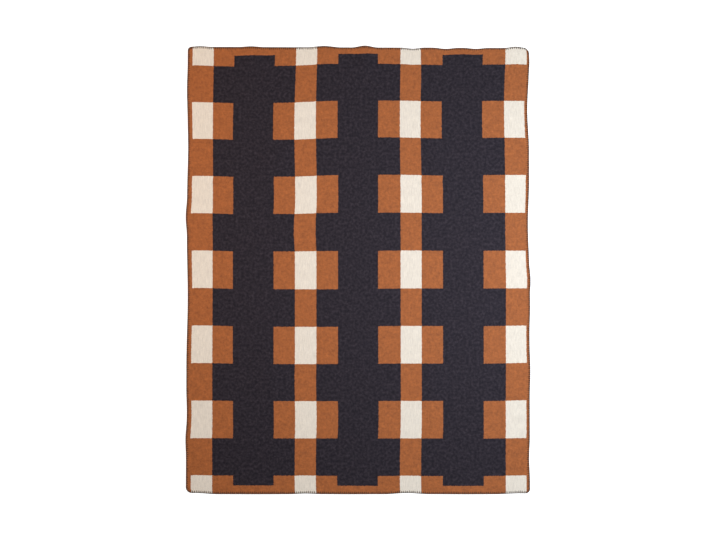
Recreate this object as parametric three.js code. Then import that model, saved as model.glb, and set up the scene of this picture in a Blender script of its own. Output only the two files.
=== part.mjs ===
// A woven wool throw blanket, spread out flat on the surface that it lies on.
//
// Sizes are in millimetres and +Z is up. X runs across the throw and Y along
// it, from the foot edge to the head edge. The origin lies on the surface,
// under the middle of the throw's outline.

import * as THREE from "three";

// Driving dimensions of the cloth

const clothWidth = 1300;
const clothLength = 1700;
const clothThickness = 3;
const rimRounding = 1;

// Where the four corners of the finished cloth lie, and how round they are.
// The weaver's rectangle has drawn a little out of square.

const corners = {
  headLeft: { x: -648.5, y: 850.5, radius: 15 },
  headRight: { x: 647, y: 845.5, radius: 26 },
  footLeft: { x: -656, y: -849.5, radius: 25 },
  footRight: { x: 652, y: -849.5, radius: 18 },
};

// Where an edge bows out, or draws in where out is negative. "at" is the
// place along the edge and "reach" is how far the wave runs to either side.

const edgeWaves = [
  { edge: "left", at: 690, reach: 110, out: 2 },
  { edge: "left", at: 460, reach: 170, out: -3 },
  { edge: "left", at: 205, reach: 80, out: 4.5 },
  { edge: "left", at: -110, reach: 240, out: -4 },
  { edge: "left", at: -540, reach: 100, out: -2.5 },
  { edge: "left", at: -640, reach: 70, out: 2 },
  { edge: "right", at: 795, reach: 60, out: 2.5 },
  { edge: "right", at: 610, reach: 150, out: -6 },
  { edge: "right", at: 170, reach: 180, out: -4.8 },
  { edge: "right", at: -35, reach: 65, out: 4 },
  { edge: "right", at: -130, reach: 110, out: 2.5 },
  { edge: "right", at: -380, reach: 110, out: 2.5 },
  { edge: "right", at: -715, reach: 90, out: -2.8 },
  { edge: "head", at: -600, reach: 45, out: 2.5 },
  { edge: "head", at: -408, reach: 50, out: 2.5 },
  { edge: "head", at: -130, reach: 65, out: 4.8 },
  { edge: "head", at: 25, reach: 50, out: 6.5 },
  { edge: "head", at: 207, reach: 45, out: -4 },
  { edge: "head", at: 332, reach: 50, out: -4 },
  { edge: "head", at: 446, reach: 50, out: -3.5 },
  { edge: "head", at: 598, reach: 45, out: 4.5 },
  { edge: "foot", at: -620, reach: 90, out: -4.5 },
  { edge: "foot", at: -200, reach: 65, out: -2.5 },
  { edge: "foot", at: 185, reach: 90, out: -4.4 },
  { edge: "foot", at: 615, reach: 100, out: -3.5 },
];
const waveDepth = 160;

// Soft rises where the cloth doesn't lie quite flat. Each is a low mound:
// "turn" is the direction of its long axis in degrees from X, "long" and
// "wide" are its half lengths, and "rise" is its height. Between them the
// underside is flat.

const rises = [
  { x: -130, y: 850, turn: 90, long: 130, wide: 75, rise: 2.6 },
  { x: 25, y: 855, turn: 90, long: 160, wide: 60, rise: 3.6 },
  { x: 256, y: 850, turn: 90, long: 110, wide: 60, rise: 2.4 },
  { x: 598, y: 850, turn: 75, long: 120, wide: 60, rise: 2.8 },
  { x: -405, y: 850, turn: 95, long: 110, wide: 65, rise: 2 },
  { x: -655, y: 205, turn: 5, long: 150, wide: 95, rise: 2.8 },
  { x: -655, y: -655, turn: -10, long: 140, wide: 95, rise: 2.4 },
  { x: -650, y: 690, turn: 0, long: 130, wide: 100, rise: 1.8 },
  { x: 655, y: -50, turn: 8, long: 170, wide: 100, rise: 3.4 },
  { x: 652, y: -385, turn: 0, long: 150, wide: 110, rise: 2.2 },
  { x: 648, y: 400, turn: -5, long: 130, wide: 110, rise: 1.6 },
  { x: -390, y: -850, turn: 90, long: 120, wide: 130, rise: 2.2 },
  { x: -20, y: -850, turn: 84, long: 130, wide: 110, rise: 2 },
  { x: 410, y: -850, turn: 97, long: 120, wide: 140, rise: 2.4 },
  { x: -300, y: 470, turn: 78, long: 260, wide: 95, rise: 1.9 },
  { x: 300, y: 480, turn: 104, long: 220, wide: 90, rise: 1.6 },
  { x: -330, y: -400, turn: 100, long: 250, wide: 90, rise: 1.5 },
  { x: 270, y: -450, turn: 80, long: 240, wide: 90, rise: 1.8 },
];

// Grid of the sheet. Its lines stand close together at the rim, where the
// corners turn, and evenly between.

const rimLines = [0, 4, 9, 16, 27];
const columnStep = 28;
const rowStep = 48;
const layers = 2;
const middleLayer = 1;

function gridLines(size, step) {
  const lastRimLine = rimLines.at(-1);
  const span = size - 2 * lastRimLine;
  const cells = Math.round(span / step);
  const lines = [...rimLines];
  for (let cell = 1; cell < cells; cell += 1) {
    lines.push(lastRimLine + (span * cell) / cells);
  }
  for (const line of [...rimLines].reverse()) {
    lines.push(size - line);
  }
  return lines.map((line) => line - size / 2);
}

// A soft hump: 1 in its middle, and 0 from its reach outwards

function hump(distance, reach) {
  if (Math.abs(distance) >= reach) {
    return 0;
  }
  return Math.cos((Math.PI / 2) * (distance / reach)) ** 2;
}

// The corner that a point of the cloth is nearest to

function nearestCorner(across, along) {
  if (along > 0) {
    return across < 0 ? corners.headLeft : corners.headRight;
  }
  return across < 0 ? corners.footLeft : corners.footRight;
}

// Bends the square corner of the grid into a quarter circle

function roundCorner(across, along) {
  const { radius } = nearestCorner(across, along);
  const arcX = clothWidth / 2 - radius;
  const arcY = clothLength / 2 - radius;
  const beyondX = Math.abs(across) - arcX;
  const beyondY = Math.abs(along) - arcY;
  if (beyondX <= 0 || beyondY <= 0) {
    return [across, along];
  }
  const squareRadius = 2 * radius * radius;
  const bentX = beyondX * Math.sqrt(1 - (beyondY * beyondY) / squareRadius);
  const bentY = beyondY * Math.sqrt(1 - (beyondX * beyondX) / squareRadius);
  return [Math.sign(across) * (arcX + bentX), Math.sign(along) * (arcY + bentY)];
}

// Draws a point of the rim straight inwards

function drawIn(across, along, distance) {
  const { radius } = nearestCorner(across, along);
  const arcX = clothWidth / 2 - radius;
  const arcY = clothLength / 2 - radius;
  const innerX = THREE.MathUtils.clamp(across, -arcX, arcX);
  const innerY = THREE.MathUtils.clamp(along, -arcY, arcY);
  const keep = 1 - distance / Math.hypot(across - innerX, along - innerY);
  return [innerX + (across - innerX) * keep, innerY + (along - innerY) * keep];
}

// How far the waves of one edge push a point outwards

function edgePush(edge, place, inset) {
  const fade = Math.max(0, 1 - inset / waveDepth) ** 2;
  let push = 0;
  for (const wave of edgeWaves) {
    if (wave.edge === edge) {
      push += wave.out * hump(place - wave.at, wave.reach);
    }
  }
  return push * fade;
}

// Lays a point of the true rectangle where the uneven cloth has it

function layOut(across, along) {
  const { headLeft, headRight, footLeft, footRight } = corners;
  const fromLeft = across / clothWidth + 0.5;
  const fromFoot = along / clothLength + 0.5;
  const lerp = THREE.MathUtils.lerp;
  const headX = lerp(headLeft.x, headRight.x, fromLeft);
  const headY = lerp(headLeft.y, headRight.y, fromLeft);
  const footX = lerp(footLeft.x, footRight.x, fromLeft);
  const footY = lerp(footLeft.y, footRight.y, fromLeft);
  const x = lerp(footX, headX, fromFoot);
  const y = lerp(footY, headY, fromFoot);
  const pushLeft = edgePush("left", y, fromLeft * clothWidth);
  const pushRight = edgePush("right", y, (1 - fromLeft) * clothWidth);
  const pushFoot = edgePush("foot", x, fromFoot * clothLength);
  const pushHead = edgePush("head", x, (1 - fromFoot) * clothLength);
  return [x + pushRight - pushLeft, y + pushHead - pushFoot];
}

// How high the cloth stands off the surface at a place

function liftAt(x, y) {
  let lift = 0;
  for (const row of rises) {
    const turn = THREE.MathUtils.degToRad(row.turn);
    const lengthways = (x - row.x) * Math.cos(turn) + (y - row.y) * Math.sin(turn);
    const sideways = (y - row.y) * Math.cos(turn) - (x - row.x) * Math.sin(turn);
    lift += row.rise * hump(lengthways, row.long) * hump(sideways, row.wide);
  }
  return lift;
}

// The woven panel: a box of many cells, each corner of them laid in its place

function wovenPanel() {
  const columns = gridLines(clothWidth, columnStep);
  const rows = gridLines(clothLength, rowStep);
  const lastColumn = columns.length - 1;
  const lastRow = rows.length - 1;
  const geometry = new THREE.BoxGeometry(lastColumn, lastRow, layers, lastColumn, lastRow, layers);
  geometry.translate(lastColumn / 2, lastRow / 2, layers / 2);
  const points = geometry.attributes.position;
  for (let i = 0; i < points.count; i += 1) {
    const column = Math.round(points.getX(i));
    const row = Math.round(points.getY(i));
    const layer = Math.round(points.getZ(i));
    const onRim = column === 0 || column === lastColumn || row === 0 || row === lastRow;
    let [across, along] = roundCorner(columns[column], rows[row]);
    if (onRim && layer !== middleLayer) {
      [across, along] = drawIn(across, along, rimRounding);
    }
    const [x, y] = layOut(across, along);
    points.setXYZ(i, x, y, liftAt(x, y) + (clothThickness * layer) / layers);
  }
  geometry.computeBoundingBox();
  const middle = geometry.boundingBox.getCenter(new THREE.Vector3());
  geometry.translate(-middle.x, -middle.y, 0);
  geometry.computeVertexNormals();
  return geometry;
}

// Felted wool on a near-black ground, matte

const wool = new THREE.MeshStandardMaterial({ color: 0x2e2a32, roughness: 0.95, metalness: 0 });

const throwBlanket = new THREE.Group();
const panel = new THREE.Mesh(wovenPanel(), wool);
panel.name = "woven_throw";
throwBlanket.add(panel);

export default throwBlanket;
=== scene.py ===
import math
import random

import bmesh
import bpy
from mathutils import Matrix, Vector


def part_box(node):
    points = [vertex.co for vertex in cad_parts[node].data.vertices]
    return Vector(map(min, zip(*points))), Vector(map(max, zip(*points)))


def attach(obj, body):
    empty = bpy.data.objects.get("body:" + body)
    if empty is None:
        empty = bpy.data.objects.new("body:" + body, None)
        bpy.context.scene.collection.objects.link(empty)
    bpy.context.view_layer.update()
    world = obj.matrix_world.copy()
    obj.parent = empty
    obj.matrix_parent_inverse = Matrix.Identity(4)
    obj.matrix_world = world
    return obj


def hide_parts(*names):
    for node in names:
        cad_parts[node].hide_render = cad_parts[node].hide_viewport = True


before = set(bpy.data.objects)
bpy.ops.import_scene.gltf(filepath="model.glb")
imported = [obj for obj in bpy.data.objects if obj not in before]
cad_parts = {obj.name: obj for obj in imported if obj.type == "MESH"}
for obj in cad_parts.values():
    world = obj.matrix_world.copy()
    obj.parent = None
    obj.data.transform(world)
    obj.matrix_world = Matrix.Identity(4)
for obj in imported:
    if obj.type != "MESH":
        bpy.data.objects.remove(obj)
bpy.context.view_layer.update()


# The woven panel. The real throw is one rectangle of thick wool cloth, woven
# double in rust, cream and near-black yarn and lightly felted. Nothing lines
# it or weighs it down, and it lies spread out flat on its back.

cloth_width = 1.300
cloth_length = 1.700
cloth_thickness = 0.003
low, high = (Vector(corner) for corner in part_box("woven_throw"))
cloth_middle = (low + high) / 2

# Where its corners lie, and how round they are

corners = {
    ("left", "head"): {"x": -0.6485, "y": 0.8505, "radius": 0.015},
    ("right", "head"): {"x": 0.647, "y": 0.8455, "radius": 0.026},
    ("left", "foot"): {"x": -0.656, "y": -0.8495, "radius": 0.025},
    ("right", "foot"): {"x": 0.652, "y": -0.8495, "radius": 0.018},
}

# How far an edge bows out, or draws in where that is negative: the place
# along the edge, the reach to either side of it, and how far out it goes

edge_waves = {
    "left": [
        (0.690, 0.110, 0.0020),
        (0.460, 0.170, -0.0030),
        (0.205, 0.080, 0.0045),
        (-0.110, 0.240, -0.0040),
        (-0.540, 0.100, -0.0025),
        (-0.640, 0.070, 0.0020),
    ],
    "right": [
        (0.795, 0.060, 0.0025),
        (0.610, 0.150, -0.0060),
        (0.170, 0.180, -0.0048),
        (-0.035, 0.065, 0.0040),
        (-0.130, 0.110, 0.0025),
        (-0.380, 0.110, 0.0025),
        (-0.715, 0.090, -0.0028),
    ],
    "head": [
        (-0.600, 0.045, 0.0025),
        (-0.408, 0.050, 0.0025),
        (-0.130, 0.065, 0.0048),
        (0.025, 0.050, 0.0065),
        (0.207, 0.045, -0.0040),
        (0.332, 0.050, -0.0040),
        (0.446, 0.050, -0.0035),
        (0.598, 0.045, 0.0045),
    ],
    "foot": [
        (-0.620, 0.090, -0.0045),
        (-0.200, 0.065, -0.0025),
        (0.185, 0.090, -0.0044),
        (0.615, 0.100, -0.0035),
    ],
}
wave_depth = 0.160

# Low mounds where the cloth doesn't lie quite flat: the place, the direction
# of the long axis in degrees, the half length and half width, and the height

rises = [
    (-0.130, 0.850, 90, 0.130, 0.075, 0.0026),
    (0.025, 0.855, 90, 0.160, 0.060, 0.0036),
    (0.256, 0.850, 90, 0.110, 0.060, 0.0024),
    (0.598, 0.850, 75, 0.120, 0.060, 0.0028),
    (-0.405, 0.850, 95, 0.110, 0.065, 0.0020),
    (-0.655, 0.205, 5, 0.150, 0.095, 0.0028),
    (-0.655, -0.655, -10, 0.140, 0.095, 0.0024),
    (-0.650, 0.690, 0, 0.130, 0.100, 0.0018),
    (0.655, -0.050, 8, 0.170, 0.100, 0.0034),
    (0.652, -0.385, 0, 0.150, 0.110, 0.0022),
    (0.648, 0.400, -5, 0.130, 0.110, 0.0016),
    (-0.390, -0.850, 90, 0.120, 0.130, 0.0022),
    (-0.020, -0.850, 84, 0.130, 0.110, 0.0020),
    (0.410, -0.850, 97, 0.120, 0.140, 0.0024),
    (-0.300, 0.470, 78, 0.260, 0.095, 0.0019),
    (0.300, 0.480, 104, 0.220, 0.090, 0.0016),
    (-0.330, -0.400, 100, 0.250, 0.090, 0.0015),
    (0.270, -0.450, 80, 0.240, 0.090, 0.0018),
]

# Where the weave has drifted inside those edges, so that its stripes and
# bands don't run quite straight: the place, the reach each way, and how far.
# Within held_by_edge of the rim the overcasting holds it where it was.

drift_across = [
    (-0.300, 0.000, 0.480, 1.100, -0.0045),
    (0.080, 0.100, 0.150, 1.100, -0.0035),
    (-0.300, 0.560, 0.420, 0.300, -0.0055),
    (0.330, 0.560, 0.420, 0.300, -0.0045),
    (-0.250, 0.150, 0.300, 0.120, -0.0045),
    (0.000, -0.760, 0.520, 0.240, -0.0050),
    (0.560, -0.100, 0.200, 0.500, 0.0010),
    (0.420, 0.700, 0.260, 0.240, -0.0010),
    (-0.180, -0.430, 0.260, 0.130, -0.0020),
    (-0.471, 0.100, 0.075, 2.000, -0.0025),
    (-0.100, 0.700, 0.200, 0.350, -0.0020),
    (0.161, -0.100, 0.075, 2.000, 0.0026),
    (0.558, -0.100, 0.080, 2.000, 0.0032),
    (0.660, 0.830, 0.190, 0.170, 0.0080),
    (0.080, 0.830, 0.090, 0.120, -0.0040),
    (0.242, 0.830, 0.070, 0.100, -0.0030),
]
drift_along = [
    (0.600, 0.450, 0.700, 0.800, 0.0125),
    (0.060, 0.480, 0.330, 0.600, 0.0105),
    (-0.500, 0.760, 0.260, 0.260, -0.0045),
    (0.600, -0.350, 0.400, 0.500, 0.0055),
    (-0.280, 0.250, 0.260, 0.560, 0.0035),
    (-0.120, 0.650, 0.200, 0.260, 0.0035),
    (0.000, -0.200, 0.700, 0.500, -0.0015),
    (-0.600, 0.200, 0.200, 1.100, 0.0055),
    (0.170, -0.120, 0.360, 0.600, 0.0040),
    (-0.110, 0.250, 0.150, 0.450, 0.0040),
    (0.500, -0.450, 0.180, 0.500, -0.0030),
    (0.000, 0.765, 0.300, 0.095, 0.0035),
    (0.200, -0.800, 0.600, 0.200, -0.0018),
    (0.025, 0.815, 0.060, 0.060, -0.0040),
]
held_by_edge = 0.026


def hump(distance, reach):
    """1 in its middle, falling softly to 0 at its reach."""
    if abs(distance) >= reach:
        return 0.0
    return math.cos(math.pi / 2 * distance / reach) ** 2


def corner_near(across, along):
    """The corner of the cloth that a point of it is nearest to."""
    side = "left" if across < 0 else "right"
    end = "head" if along > 0 else "foot"
    return corners[side, end]


def round_corner(across, along):
    """Bends the square corner of the sheet into a quarter circle."""
    radius = corner_near(across, along)["radius"]
    arc_x = cloth_width / 2 - radius
    arc_y = cloth_length / 2 - radius
    beyond_x = abs(across) - arc_x
    beyond_y = abs(along) - arc_y
    if beyond_x <= 0 or beyond_y <= 0:
        return across, along
    bent_x = beyond_x * math.sqrt(1 - beyond_y**2 / (2 * radius**2))
    bent_y = beyond_y * math.sqrt(1 - beyond_x**2 / (2 * radius**2))
    return math.copysign(arc_x + bent_x, across), math.copysign(arc_y + bent_y, along)


def edge_push(edge, place, inset):
    """How far the waves of one edge push a point of the cloth outwards."""
    push = sum(out * hump(place - at, reach) for at, reach, out in edge_waves[edge])
    return push * max(0.0, 1 - inset / wave_depth) ** 2


def weave_drift(drifts, x, y):
    """How far the weave has slid at a place, across the cloth or along it."""
    return sum(
        far * hump(x - at_x, reach_x) * hump(y - at_y, reach_y)
        for at_x, at_y, reach_x, reach_y, far in drifts
    )


def lay_cloth(across, along):
    """Lays a point of the true rectangle where the uneven cloth has it."""
    from_left = across / cloth_width + 0.5
    from_foot = along / cloth_length + 0.5
    x = y = 0.0
    for (side, end), corner in corners.items():
        share = from_left if side == "right" else 1 - from_left
        share *= from_foot if end == "head" else 1 - from_foot
        x += share * corner["x"]
        y += share * corner["y"]
    side_inset = cloth_width / 2 - abs(across)
    end_inset = cloth_length / 2 - abs(along)
    slide_x = weave_drift(drift_across, x, y) * (1 - hump(side_inset, held_by_edge))
    slide_y = weave_drift(drift_along, x, y) * (1 - hump(end_inset, held_by_edge))
    x += slide_x
    y += slide_y
    push_left = edge_push("left", y, from_left * cloth_width)
    push_right = edge_push("right", y, (1 - from_left) * cloth_width)
    push_foot = edge_push("foot", x, from_foot * cloth_length)
    push_head = edge_push("head", x, (1 - from_foot) * cloth_length)
    return x + (push_right - push_left), y + (push_head - push_foot)


def lift_at(x, y):
    """How high the underside of the cloth stands off the surface."""
    lift = 0.0
    for at_x, at_y, turn, long, wide, rise in rises:
        cosine, sine = math.cos(math.radians(turn)), math.sin(math.radians(turn))
        lengthways = (x - at_x) * cosine + (y - at_y) * sine
        sideways = (y - at_y) * cosine - (x - at_x) * sine
        lift += rise * hump(lengthways, long) * hump(sideways, wide)
    return lift


# The overcast yarn nips the rim: it is thinner there, and its underside
# stands off the surface by the yarn that passes below it

nip_reach = 0.011
nipped_thickness = 0.0020
nipped_middle = 0.0025
rim_room = 0.0018


def across_thickness(inset, share):
    """The height of a share of the thickness, which counts from 0 at the underside."""
    nip = max(0.0, 1 - inset / nip_reach) ** 2
    middle = cloth_thickness / 2 + (nipped_middle - cloth_thickness / 2) * nip
    thickness = cloth_thickness + (nipped_thickness - cloth_thickness) * nip
    return middle + (share - 0.5) * thickness


def verts_in(parts):
    """The corner points among what a mesh operator gives back."""
    return [part for part in parts if isinstance(part, bmesh.types.BMVert)]


def faces_in(parts):
    """The faces among what a mesh operator gives back."""
    return [part for part in parts if isinstance(part, bmesh.types.BMFace)]


# The sheet starts flat and square, on a grid with closer lines at its rim.
# Only the edges of the rim fold by more than rim_fold, in radians.

cell = 0.0125
rim_lines = (0.003, 0.006, 0.0095)
rim_fold = 1.0
rim_rounding = 0.0009
rim_segments = 2

panel_mesh = bmesh.new()
plan = panel_mesh.loops.layers.uv.new("cloth_plan")
bmesh.ops.create_grid(
    panel_mesh,
    x_segments=round(cloth_width / cell),
    y_segments=round(cloth_length / cell),
    size=0.5,
)
bmesh.ops.scale(panel_mesh, vec=(cloth_width, cloth_length, 1), verts=panel_mesh.verts)
for line in rim_lines:
    for side in (-1, 1):
        for place, normal in (
            ((side * (cloth_width / 2 - line), 0, 0), (1, 0, 0)),
            ((0, side * (cloth_length / 2 - line), 0), (0, 1, 0)),
        ):
            whole = panel_mesh.verts[:] + panel_mesh.edges[:] + panel_mesh.faces[:]
            bmesh.ops.bisect_plane(panel_mesh, geom=whole, plane_co=place, plane_no=normal)
top = bmesh.ops.extrude_face_region(panel_mesh, geom=panel_mesh.faces[:])["geom"]
bmesh.ops.translate(panel_mesh, vec=(0, 0, cloth_thickness), verts=verts_in(top))
bmesh.ops.recalc_face_normals(panel_mesh, faces=panel_mesh.faces)
rim_edges = [
    edge
    for edge in panel_mesh.edges
    if edge.verts[0].co.z == edge.verts[1].co.z and edge.calc_face_angle() > rim_fold
]
bmesh.ops.bevel(
    panel_mesh,
    geom=rim_edges,
    affect="EDGES",
    offset=rim_rounding,
    segments=rim_segments,
    profile=0.5,
    material=-1,
)

# Its weave is drawn on it while it is still square: the map is its place in
# the flat cloth, in metres. Then every point is laid where the cloth has it.

for face in panel_mesh.faces:
    for loop in face.loops:
        loop[plan].uv = loop.vert.co.xy
for vert in panel_mesh.verts:
    across, along, height = vert.co
    inset = min(cloth_width / 2 - abs(across), cloth_length / 2 - abs(along))
    across, along = round_corner(across, along)
    across *= 1 - 2 * rim_room / cloth_width
    along *= 1 - 2 * rim_room / cloth_length
    x, y = lay_cloth(across, along)
    z = lift_at(x, y) + across_thickness(inset, height / cloth_thickness)
    vert.co = (x, y, z)
spread_x = [vert.co.x for vert in panel_mesh.verts]
spread_y = [vert.co.y for vert in panel_mesh.verts]
lay_shift = Vector((
    cloth_middle.x - (min(spread_x) + max(spread_x)) / 2,
    cloth_middle.y - (min(spread_y) + max(spread_y)) / 2,
    0,
))
bmesh.ops.translate(panel_mesh, vec=lay_shift, verts=panel_mesh.verts)


def finish_piece(name, mesh_maker, material):
    """Turns a bmesh into a smooth piece of that name and material."""
    mesh = bpy.data.meshes.new(name)
    mesh_maker.to_mesh(mesh)
    mesh_maker.free()
    mesh.shade_smooth()
    mesh.materials.append(material)
    piece = bpy.data.objects.new(name, mesh)
    bpy.context.scene.collection.objects.link(piece)
    return piece


# Its finish. Small makers of nodes come first: they take numbers or sockets,
# and all but the first give back the socket that their result comes out of.


def node(tree, kind, settings=None, inputs=None):
    """Makes a node, with its inputs set to numbers or joined to sockets."""
    made = tree.nodes.new(kind)
    for name, setting in (settings or {}).items():
        setattr(made, name, setting)
    for name, value in (inputs or {}).items():
        if isinstance(value, bpy.types.NodeSocket):
            tree.links.new(value, made.inputs[name])
        else:
            made.inputs[name].default_value = value
    return made


def maths(tree, operation, *values):
    """Works out one step of arithmetic."""
    inputs = dict(enumerate(values))
    return node(tree, "ShaderNodeMath", {"operation": operation}, inputs).outputs["Value"]


def between(tree, share, first, second, kind="FLOAT"):
    """Blends two numbers, or two colours, by a share from 0 to 1."""
    sockets = {"FLOAT": (0, 2, 3, 0), "RGBA": (0, 6, 7, 2)}[kind]
    inputs = dict(zip(sockets[:3], (share, first, second)))
    return node(tree, "ShaderNodeMix", {"data_type": kind}, inputs).outputs[sockets[3]]


def noise(tree, place, scale, detail=2.0, roughness=0.5):
    """Soft noise from 0 to 1, with its middle at 0.5."""
    inputs = {"Vector": place, "Scale": scale, "Detail": detail, "Roughness": roughness}
    return node(tree, "ShaderNodeTexNoise", {"noise_dimensions": "3D"}, inputs).outputs["Fac"]


def stretch(tree, place, scale):
    """Scales a place by a number for each axis."""
    return node(tree, "ShaderNodeMapping", inputs={"Vector": place, "Scale": scale}).outputs["Vector"]


def chance(tree, first, second=0.0):
    """A number from 0 to 1 that is the same wherever both of its inputs are."""
    place = node(tree, "ShaderNodeCombineXYZ", inputs={"X": first, "Y": second}).outputs["Vector"]
    dice = node(tree, "ShaderNodeTexWhiteNoise", {"noise_dimensions": "2D"}, {"Vector": place})
    return dice.outputs["Value"]


def ramp(tree, value, span, most=1.0):
    """Turns a value that runs over a span into one from 0 to most."""
    start, end = span
    inputs = {"Value": value, "From Min": start, "From Max": end, "To Min": 0.0, "To Max": most}
    return node(tree, "ShaderNodeMapRange", inputs=inputs).outputs["Result"]


def scaled(tree, colour, factor):
    """Makes a colour lighter or darker by a factor."""
    inputs = {"Vector": colour, "Scale": factor}
    return node(tree, "ShaderNodeVectorMath", {"operation": "SCALE"}, inputs).outputs["Vector"]


# Wool fibre, used by the cloth and by the yarn of its rim: fine hairs that
# lie both ways over each other, tufts of them, and slow changes of shade.
# The scales are repeats to the metre, for X, Y and Z.

hairs_lying_across = (450, 2600, 900)
hairs_lying_along = (2600, 450, 900)
shade_repeats = 38.0
bump_strength = 0.7

wool = bpy.data.node_groups.new("wool_fibre", "ShaderNodeTree")
wool.interface.new_socket("Place", in_out="INPUT", socket_type="NodeSocketVector")
wool.interface.new_socket("Tuft Size", in_out="INPUT", socket_type="NodeSocketFloat")
wool.interface.new_socket("Tufts", in_out="OUTPUT", socket_type="NodeSocketFloat")
wool.interface.new_socket("Slow Shade", in_out="OUTPUT", socket_type="NodeSocketFloat")
wool.interface.new_socket("Nap", in_out="OUTPUT", socket_type="NodeSocketFloat")
wool_in = node(wool, "NodeGroupInput").outputs
wool_place = wool_in["Place"]
tuft_scale = maths(wool, "DIVIDE", 1.0, wool_in["Tuft Size"])
tufts = noise(wool, wool_place, tuft_scale, roughness=0.6)
slow_shade = noise(wool, wool_place, shade_repeats, detail=3.0, roughness=0.55)
hairs_across = noise(wool, stretch(wool, wool_place, hairs_lying_across), 1.0, roughness=0.6)
hairs_along = noise(wool, stretch(wool, wool_place, hairs_lying_along), 1.0, roughness=0.6)
nap = maths(wool, "MAXIMUM", hairs_across, hairs_along)
wool_out = {"Tufts": tufts, "Slow Shade": slow_shade, "Nap": nap}
node(wool, "NodeGroupOutput", inputs=wool_out)

# The block check, in metres of flat cloth. Stripes one unit wide run the
# whole length; bars one unit wide stand to either side of each of them in
# every second band, and where the bands cross the stripes these are cream.
# The strips outside the last stripes, and the two ends, are rust.

unit = 0.081
stripe_repeat = 0.397
first_stripe = -0.5925
band = 0.142
margin_middle = 0.003
margin_half = 0.636
head_strip = 0.0280
foot_strip = 0.0315

# The weave: a weft float passes over two ends of warp. The colours stray
# over their lines from yarn to yarn, and felting has pulled the yarns about.

pick = 0.0025
float_length = 0.0050
float_roundness = 0.7
stray = 0.0016
weft_seed = 3.7
warp_seed = 9.1
felt_scale = 420.0
felt_pull = (0.0032, 0.0022, 0.0)

# The dyes: rust and cream yarns are blends of lighter and deeper hairs, and
# the near-black is mottled with grey, more in one tuft than in the next

deep_rust = (0.3140, 0.0905, 0.0187, 1)
light_rust = (0.4200, 0.1390, 0.0343, 1)
deep_cream = (0.7290, 0.6660, 0.5430, 1)
light_cream = (0.8470, 0.8050, 0.7030, 1)
near_black = (0.0065, 0.0045, 0.0060, 1)
dark_grey = (0.0318, 0.0255, 0.0300, 1)
heather_span = (0.45, 0.68)
mottle_span = (0.35, 0.65)
most_mottle = 0.6

# How much each kind of shading counts in each colour: tufts and slow changes
# make the near-black restless and the rust less so, and the cream shows
# little more than soft streaks lengthways

tuft_size = 0.0100
tuft_contrast = 3.0
float_contrast = 0.5
streak_repeats = (300, 36, 1)
tuft_shares = {"near_black": 0.42, "rust": 0.28, "cream": 0.04}
streak_shares = {"near_black": 0.30, "rust": 0.30, "cream": 0.40}
slow_shares = {"near_black": 1.10, "rust": 0.50, "cream": 0.12}
# Painted shade and light: the hollows between the floats are painted darker by the first factor, and
# their tops painted lighter by the second
painted_hollow_shade = 0.87
painted_float_top_light = 0.26

# How high floats, hairs and tufts stand, in metres

float_relief = 0.00045
nap_relief = 0.00065
tuft_relief = 0.00060

wool_cloth = bpy.data.materials.new("wool_cloth")
wool_cloth.use_nodes = True
cloth = wool_cloth.node_tree
cloth.nodes.clear()
plan_map = node(cloth, "ShaderNodeUVMap", {"uv_map": "cloth_plan"}).outputs["UV"]

# Felting has pulled every yarn a little out of line

felted = node(
    cloth,
    "ShaderNodeTexNoise",
    {"noise_dimensions": "2D"},
    {"Vector": plan_map, "Scale": felt_scale, "Detail": 2.0, "Roughness": 0.6},
).outputs["Color"]
pulled = node(
    cloth,
    "ShaderNodeVectorMath",
    {"operation": "SUBTRACT"},
    {0: felted, 1: (0.5, 0.5, 0.5)},
).outputs["Vector"]
yarn_map = node(
    cloth,
    "ShaderNodeVectorMath",
    {"operation": "MULTIPLY_ADD"},
    {0: pulled, 1: felt_pull, 2: plan_map},
).outputs["Vector"]
plan_parts = node(cloth, "ShaderNodeSeparateXYZ", inputs={"Vector": yarn_map}).outputs
plan_x, plan_y = plan_parts["X"], plan_parts["Y"]

# Which pick and which end a point lies in, and how far the colours stray
# over their line there

pick_number = maths(cloth, "FLOOR", maths(cloth, "DIVIDE", plan_y, pick))
end_number = maths(cloth, "FLOOR", maths(cloth, "DIVIDE", plan_x, pick))
stray_x = maths(cloth, "MULTIPLY_ADD", chance(cloth, pick_number, weft_seed), stray, -stray / 2)
stray_y = maths(cloth, "MULTIPLY_ADD", chance(cloth, end_number, warp_seed), stray, -stray / 2)
woven_x = maths(cloth, "ADD", plan_x, stray_x)
woven_y = maths(cloth, "ADD", plan_y, stray_y)

# Then its distance from the nearest stripe and band tells its colour

from_first = maths(cloth, "SUBTRACT", woven_x, first_stripe)
from_stripe = maths(cloth, "PINGPONG", from_first, stripe_repeat / 2)
from_band = maths(cloth, "PINGPONG", woven_y, band)
from_middle = maths(cloth, "ABSOLUTE", maths(cloth, "SUBTRACT", woven_x, margin_middle))
in_stripe = maths(cloth, "LESS_THAN", from_stripe, unit / 2)
near_stripe = maths(cloth, "LESS_THAN", from_stripe, unit * 1.5)
in_blocks = maths(cloth, "LESS_THAN", from_band, band / 2)
in_margin = maths(cloth, "GREATER_THAN", from_middle, margin_half)
in_head = maths(cloth, "GREATER_THAN", woven_y, cloth_length / 2 - head_strip)
in_foot = maths(cloth, "LESS_THAN", woven_y, foot_strip - cloth_length / 2)
in_end = maths(cloth, "MAXIMUM", in_head, in_foot)
is_cream = maths(cloth, "MULTIPLY", in_stripe, in_blocks)
in_bars = maths(cloth, "MULTIPLY", near_stripe, in_blocks)
in_figure = maths(cloth, "MAXIMUM", in_stripe, in_bars)
in_border = maths(cloth, "MAXIMUM", in_margin, in_end)
is_rust = maths(cloth, "MAXIMUM", in_figure, in_border)

# The floats: each second pick is set over by half a float, and each float
# stands up round between its two ends

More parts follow.
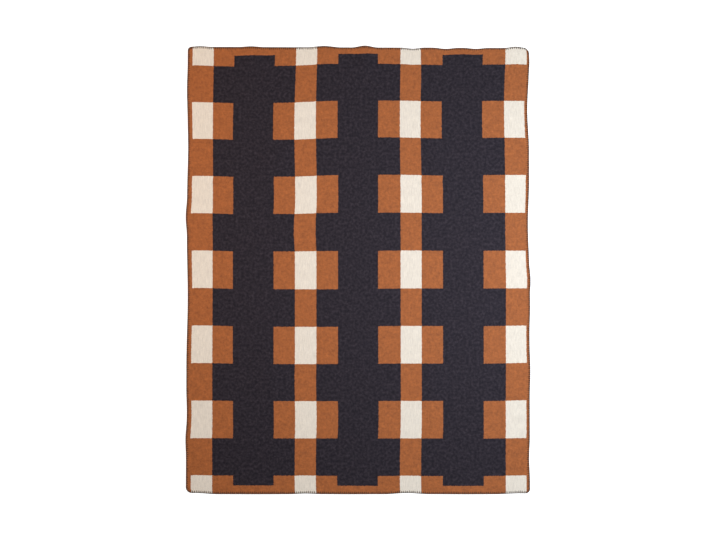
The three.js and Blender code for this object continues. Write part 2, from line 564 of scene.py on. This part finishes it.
pick_place = maths(cloth, "FRACT", maths(cloth, "DIVIDE", plan_y, pick))
set_over = maths(cloth, "MULTIPLY", maths(cloth, "FLOORED_MODULO", pick_number, 2.0), 0.5)
float_run = maths(cloth, "ADD", maths(cloth, "DIVIDE", plan_x, float_length), set_over)
float_place = maths(cloth, "FRACT", float_run)
float_shade = chance(cloth, maths(cloth, "FLOOR", float_run), pick_number)
round_across = maths(cloth, "SINE", maths(cloth, "MULTIPLY", pick_place, math.pi))
round_along = maths(cloth, "SINE", maths(cloth, "MULTIPLY", float_place, math.pi))
round_ends = maths(cloth, "POWER", round_along, float_roundness)
float_height = maths(cloth, "MULTIPLY", round_across, round_ends)

# The shade of each place, with painted shade in the hollows between the floats, and its dye


def share_for(shares):
    """The share that goes with the colour of the cloth at a place."""
    dark_or_rust = between(cloth, is_rust, shares["near_black"], shares["rust"])
    return between(cloth, is_cream, dark_or_rust, shares["cream"])


fibre = node(
    cloth,
    "ShaderNodeGroup",
    {"node_tree": wool},
    {"Place": plan_map, "Tuft Size": tuft_size},
).outputs
streaks = noise(cloth, stretch(cloth, plan_map, streak_repeats), 1.0)
tuft_shade = maths(cloth, "MULTIPLY_ADD", fibre["Tufts"], tuft_contrast, -tuft_contrast / 2)
yarn_tone = maths(cloth, "MULTIPLY_ADD", float_shade, float_contrast, -float_contrast / 2)
tuft_shade = maths(cloth, "ADD", tuft_shade, yarn_tone)
streak_shade = maths(cloth, "SUBTRACT", streaks, 0.5)
slow_change = maths(cloth, "SUBTRACT", fibre["Slow Shade"], 0.5)
shade = maths(cloth, "MULTIPLY_ADD", tuft_shade, share_for(tuft_shares), 1.0)
shade = maths(cloth, "MULTIPLY_ADD", streak_shade, share_for(streak_shares), shade)
shade = maths(cloth, "MULTIPLY_ADD", slow_change, share_for(slow_shares), shade)
# Painted shade in the hollows between the floats and painted light on their tops, by the height of
# each float
painted_float_light = maths(cloth, "MULTIPLY_ADD", float_height, painted_float_top_light, painted_hollow_shade)
shade = maths(cloth, "MULTIPLY", shade, painted_float_light)

mottle = ramp(cloth, fibre["Tufts"], mottle_span, most_mottle)
heather = ramp(cloth, fibre["Nap"], heather_span)
ground = between(cloth, mottle, near_black, dark_grey, "RGBA")
rust = between(cloth, heather, deep_rust, light_rust, "RGBA")
cream = between(cloth, heather, deep_cream, light_cream, "RGBA")
dyed = between(cloth, is_rust, ground, rust, "RGBA")
dyed = between(cloth, is_cream, dyed, cream, "RGBA")
shaded = scaled(cloth, dyed, shade)

relief = maths(cloth, "MULTIPLY", float_height, float_relief)
relief = maths(cloth, "MULTIPLY_ADD", fibre["Nap"], nap_relief, relief)
relief = maths(cloth, "MULTIPLY_ADD", fibre["Tufts"], tuft_relief, relief)
cloth_bump = node(
    cloth,
    "ShaderNodeBump",
    inputs={"Strength": bump_strength, "Distance": 1.0, "Height": relief},
)
cloth_shader = node(
    cloth,
    "ShaderNodeBsdfPrincipled",
    inputs={
        "Base Color": shaded,
        "Roughness": 0.62,
        "Specular IOR Level": 0.29,
        "Specular Tint": (0.80, 0.76, 1.0, 1),
        "Normal": cloth_bump.outputs["Normal"],
    },
)
node(cloth, "ShaderNodeOutputMaterial", inputs={"Surface": cloth_shader.outputs["BSDF"]})

woven_panel = finish_piece("woven_panel", panel_mesh, wool_cloth)
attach(woven_panel, "root")
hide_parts("woven_throw")


# The cord of the overcast rim. A thick dark brown yarn is worked round the
# whole edge by hand: it runs along the rim as a cord of two twisted plies,
# and its stitches, in the next section, hold it there.

stitch_pitch = 0.0076
cord_radius = 0.0016
cord_height = 0.0011
cord_waist = 0.80
cord_inset = 0.0015
cord_pull = 0.0002
cord_sides = 8
rings_a_stitch = 4
ply_lead = 0.0160
weld = 0.00002

# The rim's runs, clockwise from the head's left corner: four straight ones,
# each with the quarter circle after it

rim = []
for edge, out, start_corner, end_corner in (
    ("head", Vector((0, 1)), corners["left", "head"], corners["right", "head"]),
    ("right", Vector((1, 0)), corners["right", "head"], corners["right", "foot"]),
    ("foot", Vector((0, -1)), corners["right", "foot"], corners["left", "foot"]),
    ("left", Vector((-1, 0)), corners["left", "foot"], corners["left", "head"]),
):
    ahead = Vector((out.y, -out.x))
    half_size = Vector((cloth_width / 2, cloth_length / 2))
    half_run = abs(ahead.x * half_size.x) + abs(ahead.y * half_size.y)
    reach = abs(out.x * half_size.x) + abs(out.y * half_size.y)
    begins = -half_run + start_corner["radius"]
    ends = half_run - end_corner["radius"]
    radius = end_corner["radius"]
    rim.append({
        "edge": edge,
        "length": ends - begins,
        "origin": out * reach + ahead * begins,
        "ahead": ahead,
        "out": out,
        "radius": 0,
    })
    rim.append({
        "edge": edge,
        "length": radius * math.pi / 2,
        "origin": out * (reach - radius) + ahead * ends,
        "ahead": ahead,
        "out": out,
        "radius": radius,
    })
rim_length = sum(run["length"] for run in rim)
stitch_count = round(rim_length / stitch_pitch)
even_pitch = rim_length / stitch_count


def run_at(distance):
    """The run of the rim that a distance along it falls in, and what is left of it."""
    distance %= rim_length
    for run in rim:
        if distance < run["length"]:
            return run, distance
        distance -= run["length"]
    return rim[0], 0.0


def rim_place(distance, inset, height):
    """A place along the rim, so far in from it, and so high over its middle."""
    run, along_run = run_at(distance)
    if run["radius"]:
        angle = along_run / run["radius"]
        away = run["out"] * math.cos(angle) + run["ahead"] * math.sin(angle)
        flat = run["origin"] + away * (run["radius"] - inset)
    else:
        flat = run["origin"] + run["ahead"] * along_run - run["out"] * inset
    x, y = lay_cloth(*flat)
    return Vector((x, y, lift_at(x, y) + nipped_middle + height)) + lay_shift


# Dark brown wool yarn, with the same fibre as the cloth

yarn_brown = (0.046, 0.0225, 0.0135)
yarn_tuft_size = 0.0025
yarn_contrast = 0.9
yarn_hair_light = 1.8
yarn_hair_relief = 0.0007
edge_yarn = bpy.data.materials.new("edge_yarn")
edge_yarn.use_nodes = True
yarn = edge_yarn.node_tree
yarn.nodes.clear()
yarn_place = node(yarn, "ShaderNodeTexCoord").outputs["Object"]
yarn_fibre = node(
    yarn,
    "ShaderNodeGroup",
    {"node_tree": wool},
    {"Place": yarn_place, "Tuft Size": yarn_tuft_size},
).outputs
yarn_shade = maths(yarn, "MULTIPLY_ADD", yarn_fibre["Tufts"], yarn_contrast, -yarn_contrast / 2)
yarn_shade = maths(yarn, "MULTIPLY_ADD", yarn_fibre["Nap"], yarn_hair_light, yarn_shade)
yarn_colour = scaled(yarn, yarn_brown, yarn_shade)
yarn_relief = maths(yarn, "MULTIPLY", yarn_fibre["Nap"], yarn_hair_relief)
yarn_bump = node(
    yarn,
    "ShaderNodeBump",
    inputs={"Strength": bump_strength, "Distance": 1.0, "Height": yarn_relief},
)
yarn_shader = node(
    yarn,
    "ShaderNodeBsdfPrincipled",
    inputs={
        "Base Color": yarn_colour,
        "Roughness": 0.9,
        "Specular IOR Level": 0.25,
        "Sheen Weight": 0.10,
        "Sheen Roughness": 0.5,
        "Normal": yarn_bump.outputs["Normal"],
    },
)
node(yarn, "ShaderNodeOutputMaterial", inputs={"Surface": yarn_shader.outputs["BSDF"]})

# The cord is a flat strip of cells, rolled up round the rim's own line. Its
# rows follow the two plies as they twist.

cord_mesh = bmesh.new()
bmesh.ops.create_grid(
    cord_mesh,
    x_segments=stitch_count * rings_a_stitch,
    y_segments=cord_sides,
    size=0.5,
)
twist_turns = round(rim_length / ply_lead)
for vert in cord_mesh.verts:
    along_share = vert.co.x + 0.5
    distance = along_share * rim_length
    side_angle = math.tau * (vert.co.y + 0.5)
    angle = side_angle + math.tau * twist_turns * along_share
    bulge = cord_waist + (1 - cord_waist) * abs(math.cos(side_angle))
    pull = cord_pull * math.cos(math.tau * distance / even_pitch)
    inset = cord_inset + pull + cord_radius * bulge * math.sin(angle)
    vert.co = rim_place(distance, inset, cord_height * bulge * math.cos(angle))
bmesh.ops.remove_doubles(cord_mesh, verts=cord_mesh.verts, dist=weld)
bmesh.ops.recalc_face_normals(cord_mesh, faces=cord_mesh.faces)
edge_cord = finish_piece("edge_cord", cord_mesh, edge_yarn)
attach(edge_cord, "root")


# The stitches of the overcast rim. At each step two strands of the yarn come
# up out of the cloth side by side, go out over the rim and the cord, bend
# round them and go back in below.

stitch_depth = 0.0088
depth_on_edge = {"head": 1.0, "right": 1.0, "foot": 1.15, "left": 1.0}
stitch_slant = 0.0010
stitch_yarn = 0.00092
stitch_sides = 6
strand_gap = 0.0017
strand_gap_at_hole = 0.0009
bend_inset = 0.0016
bend_radius = nipped_thickness / 2 + 0.0005
bend_steps = 3
shoulder_inset = 0.0072
shoulder_sink = 0.00075
top_sink = 0.0019

# How far one stitch may be off its place, off its slant and off its depth,
# as hand work is

most_aside = 0.0008
lean_span = (-0.0005, 0.0009)
depth_span = (0.88, 1.14)
hand = random.Random(11)

# One strand, drawn on from ring to ring. X is along the rim, Y into the
# cloth and Z up.

one_stitch = bmesh.new()
end_ring = bmesh.ops.create_circle(
    one_stitch,
    cap_ends=True,
    segments=stitch_sides,
    radius=stitch_yarn,
)["verts"]
bmesh.ops.rotate(one_stitch, verts=end_ring, matrix=Matrix.Rotation(math.pi / 2, 3, "X"))
bmesh.ops.translate(one_stitch, verts=end_ring, vec=(0, stitch_depth, bend_radius - top_sink))
yarn_end = one_stitch.faces[:]


def pull_to(yarn_end, step):
    """Draws the yarn on from its last face by a step, and gives back the new one."""
    drawn = bmesh.ops.extrude_face_region(one_stitch, geom=yarn_end)["geom"]
    bmesh.ops.translate(one_stitch, verts=verts_in(drawn), vec=step)
    return faces_in(drawn)


yarn_end = pull_to(yarn_end, (0, shoulder_inset - stitch_depth, top_sink - shoulder_sink))
yarn_end = pull_to(yarn_end, (0, bend_inset - shoulder_inset, shoulder_sink))
bend = bmesh.ops.spin(
    one_stitch,
    geom=yarn_end,
    cent=(0, bend_inset, 0),
    axis=(1, 0, 0),
    angle=math.pi,
    steps=bend_steps,
    use_merge=False,
)
pull_to(faces_in(bend["geom_last"]), (0, stitch_depth - bend_inset, 0))

# The faces left inside the strand, where it was drawn on, come out again

joins = [
    face
    for face in one_stitch.faces
    if all(len(edge.link_faces) > 2 for edge in face.edges)
]
bmesh.ops.delete(one_stitch, geom=joins, context="FACES_ONLY")

# The second strand lies beside the first, and they close up to their holes

second_strand = bmesh.ops.duplicate(one_stitch, geom=one_stitch.faces[:])["geom"]
second_verts = verts_in(second_strand)
first_verts = [vert for vert in one_stitch.verts if vert not in second_verts]
bmesh.ops.translate(one_stitch, verts=first_verts, vec=(-strand_gap / 2, 0, 0))
bmesh.ops.translate(one_stitch, verts=second_verts, vec=(strand_gap / 2, 0, 0))
for vert in one_stitch.verts:
    inward = max(0.0, vert.co.y - bend_inset) / (stitch_depth - bend_inset)
    vert.co.x -= math.copysign(strand_gap - strand_gap_at_hole, vert.co.x) / 2 * inward
bmesh.ops.recalc_face_normals(one_stitch, faces=one_stitch.faces)
edge_stitches = finish_piece("edge_stitches", one_stitch, edge_yarn)

# A straight row of them is wrapped round the rim

stitch_row = edge_stitches.modifiers.new("stitch_row", "ARRAY")
stitch_row.count = stitch_count
stitch_row.use_relative_offset = False
stitch_row.use_constant_offset = True
stitch_row.constant_offset_displace = (even_pitch, 0, 0)
row_mesh = bmesh.new()
row_mesh.from_object(edge_stitches, bpy.context.evaluated_depsgraph_get())
edge_stitches.modifiers.clear()
aside = [hand.uniform(-most_aside, most_aside) for _ in range(stitch_count)]
lean = [hand.uniform(*lean_span) for _ in range(stitch_count)]
longer = [hand.uniform(*depth_span) for _ in range(stitch_count)]
for vert in row_mesh.verts:
    number = min(stitch_count - 1, round(vert.co.x / even_pitch))
    middle = number * even_pitch
    run, _ = run_at(middle)
    inset, height = vert.co.y, vert.co.z
    if inset > bend_inset:
        full_slant = (stitch_slant + lean[number]) * math.copysign(1, height)
        slant = full_slant * (inset - bend_inset) / (stitch_depth - bend_inset)
        deeper = depth_on_edge[run["edge"]] * longer[number]
        inset = bend_inset + (inset - bend_inset) * deeper
    else:
        slant = 0.0
    vert.co = rim_place(vert.co.x + aside[number] + slant, inset, height)
row_mesh.to_mesh(edge_stitches.data)
row_mesh.free()
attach(edge_stitches, "root")


# The studio: a wide pale floor in even white light. A broad cool lamp stands
# to the right and a warmer, weaker one hangs over the left. The camera looks
# straight down on the middle of the throw.

floor_radius = 40.0
floor_sides = 96
floor_paint = bpy.data.materials.new("floor_paint")
floor_paint.use_nodes = True
paint = floor_paint.node_tree
paint.nodes.clear()
paint_shader = node(
    paint,
    "ShaderNodeBsdfPrincipled",
    inputs={
        "Base Color": (0.45, 0.45, 0.45, 1),
        "Roughness": 0.9,
        "Specular IOR Level": 0.0,
        "Emission Color": (1, 1, 1, 1),
        "Emission Strength": 0.93,
    },
)
node(paint, "ShaderNodeOutputMaterial", inputs={"Surface": paint_shader.outputs["BSDF"]})
floor_mesh = bmesh.new()
bmesh.ops.create_circle(floor_mesh, cap_ends=True, segments=floor_sides, radius=floor_radius)
floor = finish_piece("floor", floor_mesh, floor_paint)


def lamp(name, place, size, watts, colour):
    """A wide soft lamp that points at the middle of the throw and stays unseen."""
    light = bpy.data.lights.new(name, "AREA")
    light.shape = "RECTANGLE"
    light.size, light.size_y = size
    light.energy = watts
    light.color = colour
    holder = bpy.data.objects.new(name, light)
    holder.location = place
    holder.rotation_euler = (-Vector(place)).to_track_quat("-Z", "Y").to_euler()
    holder.visible_camera = False
    bpy.context.scene.collection.objects.link(holder)


lamp("key_lamp", (1.25, 0.04, 2.05), (1.2, 1.6), 64, (0.85, 0.91, 1.0))
lamp("fill_lamp", (-1.55, 0.60, 1.60), (1.6, 1.6), 23.5, (1.0, 0.66, 0.45))

# The air is white behind the floor, and adds a little light from all round

seen_air = 1.0
air_glow = 0.15
world = bpy.data.worlds.new("studio_air")
world.use_nodes = True
air = world.node_tree
air.nodes.clear()
seen_by_camera = node(air, "ShaderNodeLightPath").outputs["Is Camera Ray"]
air_strength = between(air, seen_by_camera, air_glow, seen_air)
air_light = node(
    air,
    "ShaderNodeBackground",
    inputs={"Color": (1, 1, 1, 1), "Strength": air_strength},
)
node(air, "ShaderNodeOutputWorld", inputs={"Surface": air_light.outputs["Background"]})
bpy.context.scene.world = world
bpy.context.scene.view_settings.view_transform = "Standard"

picture_width = 716
metres_a_pixel = 0.0038
camera_data = bpy.data.cameras.new("camera")
camera_data.lens = 85
camera_data.sensor_width = 36
camera_height = picture_width * metres_a_pixel * camera_data.lens / camera_data.sensor_width
camera = bpy.data.objects.new("camera", camera_data)
camera.location = (0, 0, camera_height + cloth_thickness)
bpy.context.scene.collection.objects.link(camera)
bpy.context.scene.camera = camera
